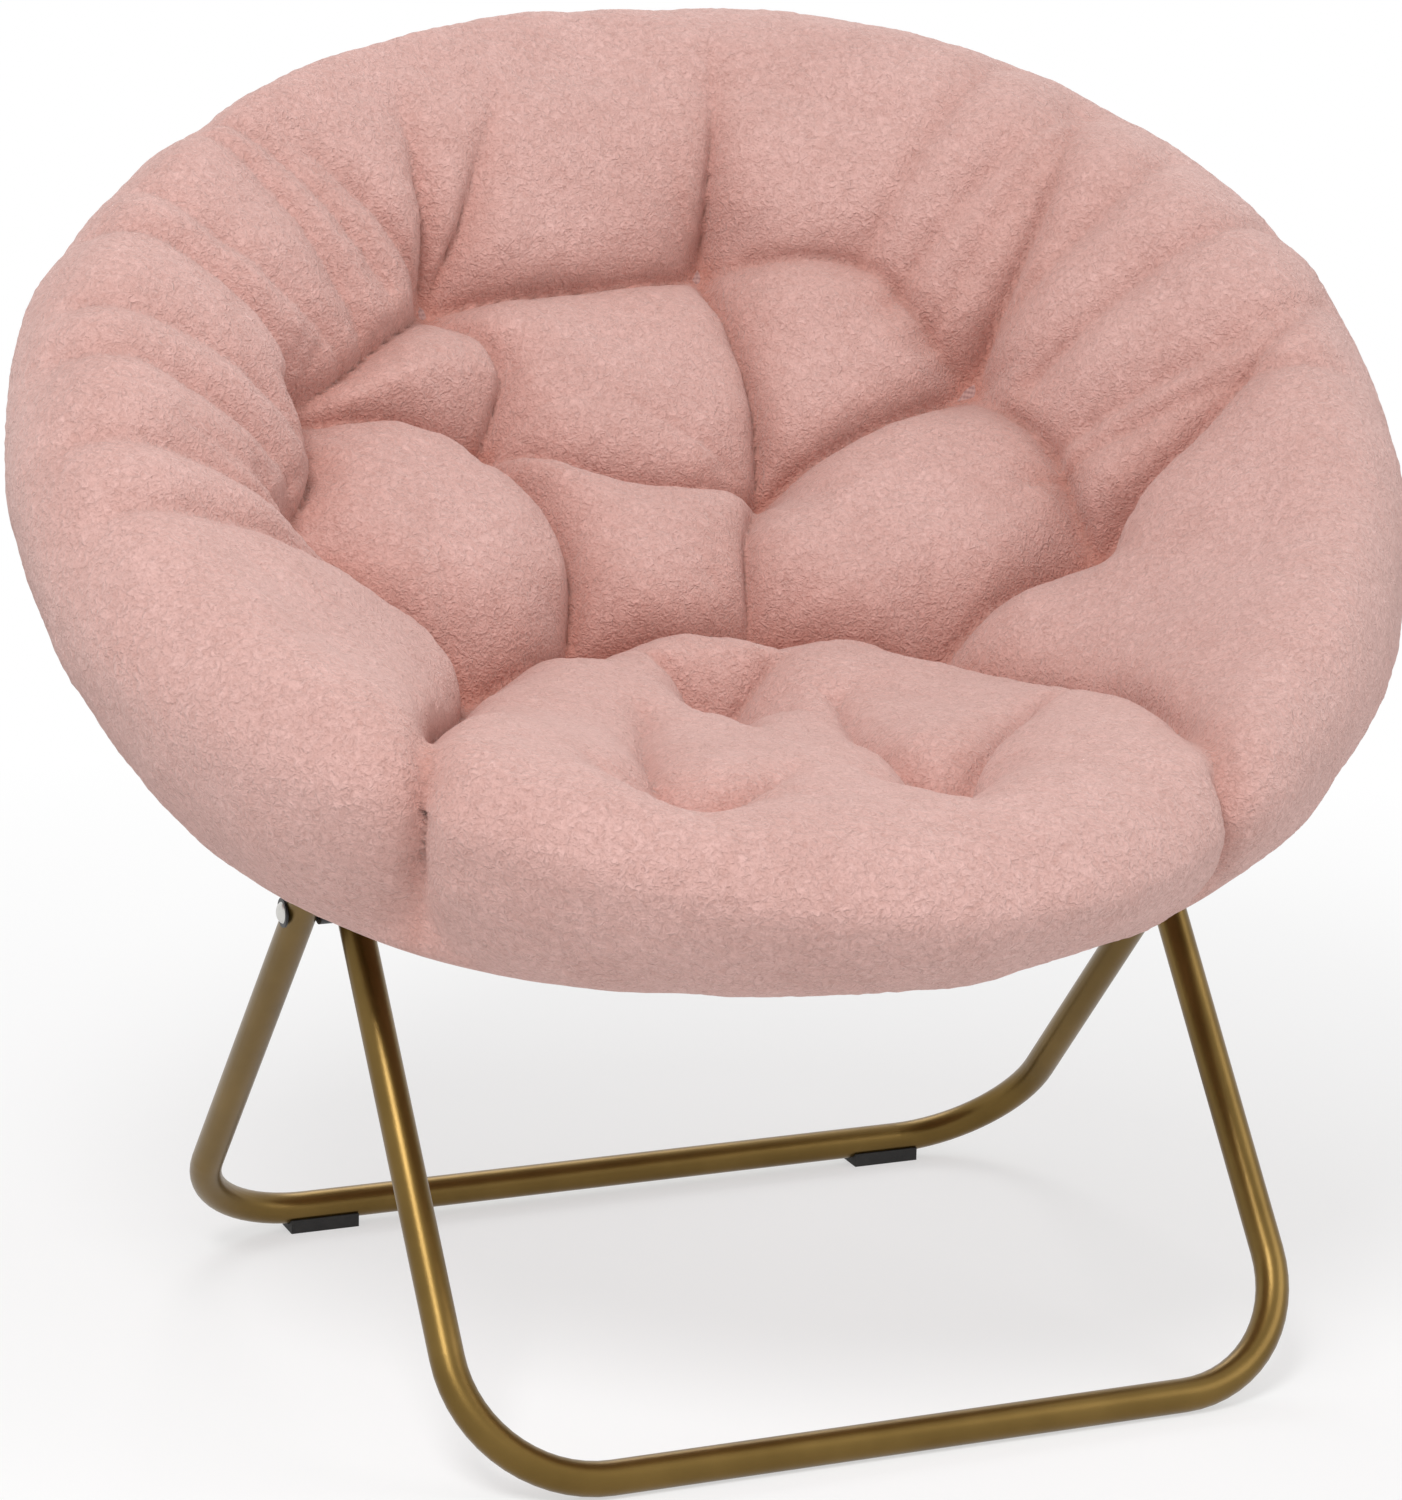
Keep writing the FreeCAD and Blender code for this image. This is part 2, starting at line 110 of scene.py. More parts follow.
def grained_material(name, dark, light, metallic, rough, grain_scale, mottle_scale, depth, **gloss):
    """Two near colours mixed by the mottling, with a roughness that follows it."""
    material, tree_nodes, links = new_material(name)
    shader = tree_nodes["Principled BSDF"]
    shader.inputs["Metallic"].default_value = metallic
    for socket, value in gloss.items():
        shader.inputs[socket.replace("_", " ")].default_value = value
    grain = place_group(
        tree_nodes, surface_grain, Grain_Scale=grain_scale, Mottle_Scale=mottle_scale, Depth=depth
    )
    tone = tree_nodes.new("ShaderNodeValToRGB")
    tone.color_ramp.elements[0].position = 0.3
    tone.color_ramp.elements[1].position = 0.7
    tone.color_ramp.elements[0].color = (*dark, 1.0)
    tone.color_ramp.elements[1].color = (*light, 1.0)
    roughness = tree_nodes.new("ShaderNodeMapRange")
    roughness.inputs["To Min"].default_value = rough[0]
    roughness.inputs["To Max"].default_value = rough[1]
    links.new(grain.outputs["Mottle"], tone.inputs["Fac"])
    links.new(tone.outputs["Color"], shader.inputs["Base Color"])
    links.new(grain.outputs["Grain"], roughness.inputs["Value"])
    links.new(roughness.outputs["Result"], shader.inputs["Roughness"])
    links.new(grain.outputs["Normal"], shader.inputs["Normal"])
    return material


def finish_nodes(material, *names):
    """The CAD nodes whose names start so get this material."""
    for node_name, piece in nodes.items():
        if node_name.startswith(names):
            piece.material_slots[0].material = material


gold_paint = grained_material(
    "gold_paint",
    dark=(0.135, 0.080, 0.016),
    light=(0.180, 0.110, 0.026),
    metallic=0.85,
    rough=(0.26, 0.40),
    grain_scale=1400.0,
    mottle_scale=18.0,
    depth=0.00012,
    Coat_Weight=0.12,
    Coat_Roughness=0.25,
)
finish_nodes(
    gold_paint,
    "front_leg_tube", "rear_leg_tube", "front_hoop_tube", "rear_hoop_tube",
    "front_hoop_lug", "rear_hoop_lug", "hinge_front_half", "hinge_rear_half",
)

# Rivets: bright steel with domed heads, at the leg crossing, at the leg tops and in the hoop's
# hinges. Their surface is lightly brushed.
rivet_steel = grained_material(
    "rivet_steel",
    dark=(0.50, 0.49, 0.47),
    light=(0.66, 0.65, 0.62),
    metallic=1.0,
    rough=(0.22, 0.38),
    grain_scale=2200.0,
    mottle_scale=60.0,
    depth=0.00005,
)
finish_nodes(rivet_steel, "pivot_rivet", "front_lug_rivet", "rear_lug_rivet", "hinge_rivet")

# Spacers, washers and end caps: moulded black nylon with a fine spark-eroded grain
black_nylon = grained_material(
    "black_nylon",
    dark=(0.012, 0.012, 0.013),
    light=(0.022, 0.022, 0.023),
    metallic=0.0,
    rough=(0.38, 0.55),
    grain_scale=1500.0,
    mottle_scale=40.0,
    depth=0.0001,
)
finish_nodes(
    black_nylon, "pivot_spacer", "pivot_washer", "front_leg_cap", "rear_leg_cap"
)

# Foot pads: two soft black rubber blocks glued under the rear bar, slightly dusty from the floor
black_rubber = grained_material(
    "black_rubber",
    dark=(0.010, 0.010, 0.010),
    light=(0.030, 0.029, 0.028),
    metallic=0.0,
    rough=(0.6, 0.85),
    grain_scale=900.0,
    mottle_scale=55.0,
    depth=0.00015,
)
finish_nodes(black_rubber, "rear_foot_pad")


# Rim sleeves: plain-woven polyester channels, sewn to the cushion's underside, that wrap the hoop
def weave_group():
    """Over-and-under threads of a plain weave, as a mask and a normal, on Object coordinates."""
    group, entry, leave = new_group(
        "plain_weave",
        [("Thread Size", "NodeSocketFloat", 0.0012), ("Depth", "NodeSocketFloat", 0.0003)],
        [("Thread", "NodeSocketFloat"), ("Normal", "NodeSocketVector")],
    )
    where = group.nodes.new("ShaderNodeTexCoord")
    scale = group.nodes.new("ShaderNodeMath")
    scale.operation = "DIVIDE"
    scale.inputs[0].default_value = pi
    grown = group.nodes.new("ShaderNodeVectorMath")
    grown.operation = "SCALE"
    split = group.nodes.new("ShaderNodeSeparateXYZ")
    link = group.links.new
    link(entry.outputs["Thread Size"], scale.inputs[1])
    link(where.outputs["Object"], grown.inputs[0])
    link(scale.outputs[0], grown.inputs["Scale"])
    link(grown.outputs["Vector"], split.inputs[0])
    waves = []
    for axis in ("X", "Y", "Z"):
        wave = group.nodes.new("ShaderNodeMath")
        wave.operation = "SINE"
        link(split.outputs[axis], wave.inputs[0])
        waves.append(wave)
    first = group.nodes.new("ShaderNodeMath")
    first.operation = "MULTIPLY"
    link(waves[0].outputs[0], first.inputs[0])
    link(waves[1].outputs[0], first.inputs[1])
    second = group.nodes.new("ShaderNodeMath")
    second.operation = "ADD"
    link(first.outputs[0], second.inputs[0])
    link(waves[2].outputs[0], second.inputs[1])
    mask = group.nodes.new("ShaderNodeMapRange")
    mask.inputs["From Min"].default_value = -1.5
    mask.inputs["From Max"].default_value = 1.5
    link(second.outputs[0], mask.inputs["Value"])
    bump = add_node(group.nodes, "ShaderNodeBump", Strength=0.8)
    link(entry.outputs["Depth"], bump.inputs["Distance"])
    link(mask.outputs["Result"], bump.inputs["Height"])
    link(mask.outputs["Result"], leave.inputs["Thread"])
    link(bump.outputs["Normal"], leave.inputs["Normal"])
    return group


plain_weave = weave_group()


def woven_material(name, valley, thread_colour, thread_size, depth):
    material, tree_nodes, links = new_material(name)
    shader = tree_nodes["Principled BSDF"]
    shader.inputs["Roughness"].default_value = 0.85
    shader.inputs["Sheen Weight"].default_value = 0.25
    shader.inputs["Sheen Roughness"].default_value = 0.5
    weave = place_group(tree_nodes, plain_weave, Thread_Size=thread_size, Depth=depth)
    grain = place_group(tree_nodes, surface_grain, Grain_Scale=600.0, Mottle_Scale=9.0)
    tone = tree_nodes.new("ShaderNodeValToRGB")
    tone.color_ramp.elements[0].color = (*valley, 1.0)
    tone.color_ramp.elements[1].color = (*thread_colour, 1.0)
    worn = tree_nodes.new("ShaderNodeMath")
    worn.operation = "MULTIPLY_ADD"
    worn.inputs[1].default_value = 0.35
    links.new(grain.outputs["Mottle"], worn.inputs[0])
    links.new(weave.outputs["Thread"], worn.inputs[2])
    links.new(worn.outputs[0], tone.inputs["Fac"])
    links.new(tone.outputs["Color"], shader.inputs["Base Color"])
    links.new(weave.outputs["Normal"], shader.inputs["Normal"])
    return material


sleeve_cloth = woven_material(
    "sleeve_cloth",
    valley=(0.36, 0.19, 0.17),
    thread_colour=(0.60, 0.36, 0.32),
    thread_size=0.0011,
    depth=0.0003,
)
finish_nodes(sleeve_cloth, "front_rim_sleeve", "rear_rim_sleeve", "side_rim_sleeve")

# Saucer cushion: a plush cover over loose fibre, sewn down at tufts so that it stands in puffs,
# rolled thick over the hoop and closed underneath with plain backing cloth.
# The cover is laid out flat first: every place on it is metres right and back of its middle.
hinge = Vector(next(j for j in frame["joints"] if j["name"] == "hoop_fold")["pos_m"])
front_tilt = radians(18.77)
rear_tilt = radians(38.88)
hinge_chord_forward = 0.130
tube_radius = 0.011
hoop_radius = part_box("rear_hoop_tube")[1].x - tube_radius
bend_reach = 0.070
bowl_depth = 0.074
underside_radii = [0.0, 0.140, 0.250, 0.330]
underside_heights = [-0.150, -0.135, -0.094, -0.048]

# Lengths along the cover's profile, from its middle over the rim and round the hoop's channel to
# the middle of the underside. Shares of the way give the seen plush more of the mesh than it is long
plush_share = 0.68
channel_share = 0.79
plush_reach = 0.685
channel_reach = 0.820
profile_lengths = [
    0.0, 0.150, 0.290, 0.372, 0.432, 0.479, 0.526, 0.560, 0.596, 0.640, plush_reach,
    0.722, 0.762, 0.778, 0.790, 0.802, channel_reach, 0.878, 0.960, 1.080, 1.200,
]
profile_stations = np.interp(
    profile_lengths,
    [0.0, plush_reach, channel_reach, profile_lengths[-1]],
    [0.0, plush_share, channel_share, 1.0],
)


def smooth_steps(stations, values, at):
    """Smooth curve through the values at the stations, one row of values for each point."""
    low = np.clip(np.searchsorted(stations, at, side="right") - 1, 0, len(stations) - 2)
    before = np.clip(low - 1, 0, None)
    after = np.clip(low + 2, None, len(stations) - 1)
    row = np.arange(len(at))
    p0, p1, p2, p3 = (values[row, i] for i in (before, low, low + 1, after))
    step = stations[low + 1] - stations[low]
    t = (at - stations[low]) / step
    slope1 = (p2 - p0) / (stations[low + 1] - stations[before]) * step
    slope2 = (p3 - p1) / (stations[after] - stations[low]) * step
    near = (2 * t**3 - 3 * t**2 + 1) * p1 + (t**3 - 2 * t**2 + t) * slope1
    return near + (3 * t**2 - 2 * t**3) * p2 + (t**3 - t**2) * slope2


def around_hoop(clock, front, right, rear, left):
    """One size that eases from quarter to quarter round the hoop."""
    quarters = np.array([front, right, rear, left, front])
    turns = clock / (pi / 2) % 4
    low = np.minimum(turns.astype(int), 3)
    ease = (1 - np.cos(pi * (turns - low))) / 2
    return quarters[low] + (quarters[low + 1] - quarters[low]) * ease


def local_swell(clock, middle, reach, height):
    """A soft rise (or pinch, where the height is negative) at one clock angle, in degrees."""
    gap = (clock - radians(middle) + pi) % (2 * pi) - pi
    return height * np.exp(-((gap / radians(reach)) ** 2))


def rim_sizes(clock):
    """How far the rim stands out past the hoop, rises over it, hangs below it, and the bowl's dish.

    The rim is pinched where the seat's lip meets the arms. The loose filling lies lower at the
    front left, and fuller in the right shoulder than in the left one."""
    bulge = around_hoop(clock, front=0.080, right=0.090, rear=0.035, left=0.075)
    bulge += local_swell(clock, middle=45, reach=30, height=-0.035)
    bulge += local_swell(clock, middle=130, reach=32, height=0.035)
    bulge += local_swell(clock, middle=215, reach=28, height=-0.025)
    bulge += local_swell(clock, middle=325, reach=25, height=-0.020)
    crown = around_hoop(clock, front=0.035, right=0.090, rear=0.025, left=0.060)
    hang = around_hoop(clock, front=0.065, right=0.080, rear=0.057, left=0.080)
    hang += local_swell(clock, middle=315, reach=30, height=0.030)
    dish = around_hoop(clock, front=0.022, right=0.040, rear=0.038, left=0.040)
    return bulge, crown, hang, dish


def bend_hoop(across, along, height):
    """From the flat hoop to the hoop bent at its hinge, with the turn spread over the fold."""
    first = -hinge_chord_forward - bend_reach
    turn = (rear_tilt - front_tilt) / (2 * bend_reach)
    bent = np.clip(along - first, 0, 2 * bend_reach)
    tilt = front_tilt + turn * bent
    ahead = np.minimum(along - first, 0)
    behind = np.maximum(along - first - 2 * bend_reach, 0)

    y = ahead * cos(front_tilt) + behind * cos(rear_tilt)
    z = ahead * sin(front_tilt) + behind * sin(rear_tilt)
    y += (np.sin(tilt) - sin(front_tilt)) / turn
    z -= (np.cos(tilt) - cos(front_tilt)) / turn
    arc_y = (sin(rear_tilt) - sin(front_tilt)) / turn
    arc_z = (cos(front_tilt) - cos(rear_tilt)) / turn
    chord_y = bend_reach * (cos(front_tilt) + cos(rear_tilt))
    chord_z = bend_reach * (sin(front_tilt) + sin(rear_tilt))
    start_y = hinge.y - bend_reach * cos(front_tilt) + (chord_y - arc_y) / 2
    start_z = hinge.z - bend_reach * sin(front_tilt) + (chord_z - arc_z) / 2
    y = start_y + y - height * np.sin(tilt)
    z = start_z + z + height * np.cos(tilt)
    return np.stack([across, y, z], axis=1)


def cover_point(clock, share):
    """Place on the smooth, unsewn cover at a clock angle (0 front, turning right) and a share."""
    bulge, crown, hang, dish = rim_sizes(clock)
    hoop = np.full_like(clock, hoop_radius)
    flat = np.zeros_like(clock)
    radius = [
        flat, flat + 0.130, flat + 0.250, flat + 0.330, 0.955 * hoop,
        hoop + 0.32 * bulge, hoop + 0.78 * bulge, hoop + bulge, hoop + 0.94 * bulge,
        hoop + 0.66 * bulge, hoop + 0.019, hoop + 0.015, hoop + 0.0145, hoop + 0.0105, hoop,
        hoop - 0.0105, hoop - 0.0145, *[flat + r for r in reversed(underside_radii)],
    ]
    height = [
        flat - bowl_depth, 0.12 * (0.070 - dish) - 0.070, -dish, 0.42 * crown, 0.93 * crown,
        0.98 * crown, 0.62 * crown, 0.12 * crown, -0.38 * hang,
        -0.82 * hang, -hang, -0.6 * hang, flat - 0.005, flat + 0.010, flat + 0.0145,
        flat + 0.010, flat - 0.004, *[flat + h for h in reversed(underside_heights)],
    ]
    r = smooth_steps(profile_stations, np.stack(radius, axis=1), share)
    n = smooth_steps(profile_stations, np.stack(height, axis=1), share)
    return bend_hoop(r * np.sin(clock), -r * np.cos(clock), n), r, n


def from_flat(places):
    """Places on the flat cover, in metres right and back, on the smooth cover in the round."""
    flat = np.array(places)
    reach = np.hypot(flat[:, 0], flat[:, 1])
    clock = np.arctan2(flat[:, 0], -flat[:, 1])
    return cover_point(clock, reach / plush_reach * plush_share)[0]


# Tufts: where the cover is sewn through the filling, from the top of the back to the seat
tuft_top_left = (-0.140, 0.250)
tuft_top = (0.090, 0.275)
tuft_top_right = (0.265, 0.135)
tuft_left = (-0.275, 0.135)
tuft_mid_left = (-0.130, 0.125)
tuft_middle = (0.090, 0.075)
tuft_right = (0.300, -0.045)
tuft_far_left = (-0.310, 0.010)
tuft_low_left = (-0.105, -0.065)
tuft_low_far_left = (-0.200, -0.095)
tuft_low = (0.040, -0.065)
tuft_low_right = (0.170, -0.100)
tuft_seat = (-0.030, -0.150)
tuft_seat_left = (-0.165, -0.365)
tuft_seat_right = (0.040, -0.355)
tufts = [
    tuft_top_left, tuft_top, tuft_top_right, tuft_left, tuft_mid_left, tuft_middle,
    tuft_right, tuft_far_left, tuft_low_left, tuft_low_far_left, tuft_low, tuft_low_right,
    tuft_seat, tuft_seat_left, tuft_seat_right,
]


def ray(start, heading, length, bow=0.0):
    """Three places on a line that leaves a tuft. Heading: degrees from the right to the back."""
    along = np.array([cos(radians(heading)), sin(radians(heading))])
    to_its_left = np.array([-along[1], along[0]])
    middle = np.add(start, along * length / 2 + to_its_left * bow)
    return [start, middle, start + along * length]


def between(start, end, bow=0.0):
    """Three places on a line from tuft to tuft, bowed to its left by the given distance."""
    way = np.subtract(end, start)
    to_its_left = np.array([-way[1], way[0]]) / np.hypot(*way)
    return [start, np.add(start, way / 2 + to_its_left * bow), end]


# Folds from tuft to tuft: depth at the start, depth at the end, line
folds = [
    (0.048, 0.048, between(tuft_top_left, tuft_top)),
    (0.042, 0.042, between(tuft_top_left, tuft_left, bow=-0.005)),
    (0.032, 0.038, between(tuft_top_left, tuft_mid_left, bow=0.025)),
    (0.045, 0.045, between(tuft_top, tuft_middle, bow=0.010)),
    (0.026, 0.034, between(tuft_top, tuft_top_right, bow=0.045)),
    (0.048, 0.048, between(tuft_top_right, tuft_middle, bow=-0.005)),
    (0.038, 0.045, between(tuft_top_right, tuft_right, bow=0.020)),
    (0.048, 0.048, between(tuft_right, tuft_low_right)),
    (0.042, 0.042, between(tuft_left, tuft_far_left, bow=0.005)),
    (0.048, 0.042, between(tuft_left, tuft_mid_left, bow=0.010)),
    (0.042, 0.050, between(tuft_mid_left, tuft_low_left, bow=0.020)),
    (0.032, 0.042, between(tuft_mid_left, tuft_middle, bow=-0.020)),
    (0.032, 0.045, between(tuft_middle, tuft_low, bow=-0.015)),
    (0.048, 0.048, between(tuft_far_left, tuft_low_far_left, bow=-0.010)),
    (0.058, 0.058, between(tuft_low_far_left, tuft_low_left)),
    (0.058, 0.058, between(tuft_low_left, tuft_low)),
    (0.058, 0.058, between(tuft_low, tuft_low_right)),
]
# Folds that leave a tuft and fade out, on the back first and then on the seat
folds += [
    (0.050, 0.000, ray(tuft_top_left, heading=98, length=0.15)),
    (0.042, 0.000, ray(tuft_top_left, heading=65, length=0.17)),
    (0.032, 0.000, ray(tuft_top_left, heading=145, length=0.17)),
    (0.052, 0.000, ray(tuft_top, heading=82, length=0.16)),
    (0.050, 0.000, ray(tuft_top_right, heading=55, length=0.24)),
    (0.050, 0.000, ray(tuft_right, heading=30, length=0.25)),
    (0.022, 0.000, ray(tuft_far_left, heading=165, length=0.12)),
    (0.020, 0.000, ray(tuft_middle, heading=150, length=0.18)),
    (0.016, 0.000, ray(tuft_middle, heading=175, length=0.15)),
    (0.042, 0.012, ray(tuft_seat, heading=128, length=0.08)),
    (0.042, 0.010, ray(tuft_seat, heading=30, length=0.10)),
    (0.042, 0.000, ray(tuft_seat, heading=260, length=0.10)),
    (0.038, 0.015, ray(tuft_seat_left, heading=75, length=0.18, bow=0.010)),
    (0.038, 0.005, ray(tuft_seat_left, heading=15, length=0.11, bow=-0.010)),
    (0.038, 0.015, ray(tuft_seat_right, heading=88, length=0.175, bow=0.015)),
    (0.038, 0.008, ray(tuft_seat_right, heading=36, length=0.23)),
]
# The seams between the seat and the arms run on over the rim
left_seam = [tuft_low_far_left, (-0.26, -0.19), (-0.33, -0.32), (-0.41, -0.43), (-0.46, -0.48)]
right_seam = [tuft_low_right, (0.23, -0.22), (0.22, -0.37), (0.24, -0.48), (0.30, -0.58)]
folds += [(0.055, 0.026, left_seam), (0.055, 0.026, right_seam)]

# Wrinkles: shallower and narrower than the folds. They fan out over both arms, where the cover
# bends with the hoop, and leave each tuft in three directions
wrinkle_dice = np.random.default_rng(11)
wrinkles = []
for side in (0, 180):
    for lean in np.linspace(-10, 52, 8):
        heading = abs(side - lean) + wrinkle_dice.uniform(-3, 3)
        inner_end = ray((0.0, 0.0), heading, wrinkle_dice.uniform(0.29, 0.33))[2]
        run_out = heading + wrinkle_dice.uniform(-12, 12)
        line = ray(inner_end, run_out, 0.20, bow=wrinkle_dice.uniform(-0.012, 0.012))
        wrinkles.append((wrinkle_dice.uniform(0.014, 0.024), 0.008, line))
for tuft in tufts:
    first_heading = wrinkle_dice.uniform(0, 120)
    for turn in (0, 120, 240):
        heading = first_heading + turn + wrinkle_dice.uniform(-25, 25)
        line = ray(tuft, heading, wrinkle_dice.uniform(0.05, 0.09), bow=0.006)
        wrinkles.append((0.020, 0.002, line))

# Widths are how far a fold reaches to each side. The crease is the sharp bottom of a fold. The
# painted shade is colour painted darker in folds and round tufts, for the shade that falls there
fold_width = 0.036
fold_crease_width = 0.008
fold_crease_share = 0.50
wrinkle_width = 0.014
tuft_depth = 0.024
tuft_width = 0.030
# Painted shade: the fold depth at which the colour is painted darkest, and how far it spreads
full_painted_shade_depth = 0.058
wide_painted_shade_width = 0.022
tuft_painted_shade_width = 0.014

# The filling: how thin it can be pressed, the wall round the hoop's channel, and how far the
# puffs in the bowl stand out
pressed_filling = 0.004
wall_reach = 0.0195
inner_puff = 0.018


def along_fold(places, step=0.012):
    """The fold's places joined by a smooth line on the flat cover, in short steps."""
    corners = np.array(places)
    legs = np.hypot(*np.diff(corners, axis=0).T)
    stations = np.concatenate([[0.0], np.cumsum(legs)])
    at = np.linspace(0.0, stations[-1], max(3, int(stations[-1] / step) + 2))
    columns = [
        smooth_steps(stations, np.broadcast_to(c, (len(at), len(c))), at) for c in corners.T
    ]
    return np.stack(columns, axis=1), at / stations[-1]


def distance_to_line(points, line, depths):
    """Least distance from each point to a line of short legs, and the line's depth there."""
    best = np.full(len(points), np.inf)
    depth = np.zeros(len(points))
    for a, b, depth_a, depth_b in zip(line[:-1], line[1:], depths[:-1], depths[1:]):
        leg = b - a
        t = np.clip((points - a) @ leg / (leg @ leg), 0.0, 1.0)
        gap = np.linalg.norm(points - a - t[:, None] * leg, axis=1)
        closer = gap < best
        best[closer] = gap[closer]
        depth[closer] = (depth_a + (depth_b - depth_a) * t)[closer]
    return best, depth


def fold_pull(points, lines, width, crease_share):
    """How far the lines draw the cover in at each point, and how much painted shade darkens the
    colour there, for the shade that falls in the fold.

    Where lines meet, the deepest one counts most."""
    total = np.zeros(len(points))
    shade = np.zeros(len(points))
    reach = 5 * width
    for start_depth, end_depth, places in lines:
        flat_line, way = along_fold(places)
        line = from_flat(flat_line)
        depths = start_depth + (end_depth - start_depth) * way
        near = np.all((points > line.min(0) - reach) & (points < line.max(0) + reach), axis=1)
        gap, depth = distance_to_line(points[near], line, depths)
        wide = np.exp(-gap / width)
        sharp = np.exp(-gap / fold_crease_width)
        total[near] += (depth * ((1 - crease_share) * wide + crease_share * sharp))**4
        # Painted shade: colour painted darker in the crease and a little beside it, for the shade in
        # the fold
        dark = depth / full_painted_shade_depth * (0.55 * sharp + 0.45 * np.exp(-gap / wide_painted_shade_width))
        shade[near] = np.maximum(shade[near], dark)
    return total**0.25, shade


def sewing_room(radius, top, hang):
    """How deep the cover can be drawn in before it meets the underside or the rim's wall.

    The wall stands between the hoop's channel and the lowest line of the rim."""
    under = np.interp(radius, [*underside_radii, 0.385], [*underside_heights, -0.004])
    over_underside = top - under
    beside = np.maximum(top, -top - hang)
    over_hoop = np.hypot(radius - hoop_radius, np.maximum(beside, 0.0)) - wall_reach
    room = np.where(radius < hoop_radius, np.minimum(over_underside, over_hoop), over_hoop)
    return np.clip(room - pressed_filling, 0.004, None)


def lumps(points, size, seed):
    """Even noise between about -1 and 1, with lumps of the given size."""
    shift = Vector((seed * 7.3, seed * 3.1, seed * 5.7))
    return np.array([noise.noise(Vector(p) / size + shift) for p in points])


def cushion_mesh():
    bm = bmesh.new()
    bmesh.ops.create_icosphere(bm, subdivisions=8, radius=1.0)
    mesh = bpy.data.meshes.new("saucer_cushion")
    bm.to_mesh(mesh)
    bm.free()
    return mesh


cushion_cover = cushion_mesh()
ball = np.zeros(len(cushion_cover.vertices) * 3)
cushion_cover.vertices.foreach_get("co", ball)
ball = ball.reshape(-1, 3)
clock = np.arctan2(ball[:, 0], -ball[:, 1])
share = np.arccos(np.clip(ball[:, 2], -1.0, 1.0)) / pi
smooth_cover, cover_radius, cover_height = cover_point(clock, share)
cushion_cover.vertices.foreach_set("co", smooth_cover.ravel())
cushion_cover.update()
normals = np.zeros(len(ball) * 3)
cushion_cover.vertex_normals.foreach_get("vector", normals)
normals = normals.reshape(-1, 3)

on_plush = np.clip((plush_share - share) / 0.05, 0.0, 1.0)
on_plush = on_plush * on_plush * (3 - 2 * on_plush)
pull, fold_painted_shade = fold_pull(smooth_cover, folds, fold_width, fold_crease_share)
wrinkle_pull, wrinkle_painted_shade = fold_pull(smooth_cover, wrinkles, wrinkle_width, 0.0)
for tuft in from_flat(tufts):
    gap = np.linalg.norm(smooth_cover - tuft, axis=1)
    pull += tuft_depth * np.exp(-((gap / tuft_width) ** 2))
    # Painted shade round each tuft, for the shade that falls into the sewn dimple
    fold_painted_shade = np.maximum(fold_painted_shade, np.exp(-((gap / tuft_painted_shade_width) ** 2)))
pull += wrinkle_pull * np.exp(-pull / 0.030)
puff = inner_puff * np.clip((0.36 - cover_radius) / 0.10, 0.0, 1.0)
puff += 0.005 * lumps(smooth_cover, 0.11, 1) + 0.0022 * lumps(smooth_cover, 0.045, 2)
puff += 0.0035 * lumps(smooth_cover, 0.022, 3) * np.clip(pull / 0.03, 0.0, 1.0)
pile = 0.0009 * lumps(smooth_cover, 0.006, 4)
room = sewing_room(cover_radius, cover_height, rim_sizes(clock)[2])
outward = puff + pile - pull
inward = np.maximum(-outward, 0.0)
outward = np.maximum(outward, 0.0) - room * inward / (room**8 + inward**8) ** 0.125
sewn_cover = smooth_cover + normals * (outward * on_plush)[:, None]
cushion_cover.vertices.foreach_set("co", sewn_cover.ravel())
cushion_cover.update()
cushion_cover.shade_smooth()

# The painted shade of folds, wrinkles and tufts goes to the plush material as the fold attribute
deep = cushion_cover.attributes.new("fold", "FLOAT", "POINT")
deep.data.foreach_set("value", np.clip(fold_painted_shade + wrinkle_painted_shade, 0.0, 1.0).astype(np.float32))
cushion = bpy.data.objects.new("saucer_cushion", cushion_cover)
bpy.context.scene.collection.objects.link(cushion)


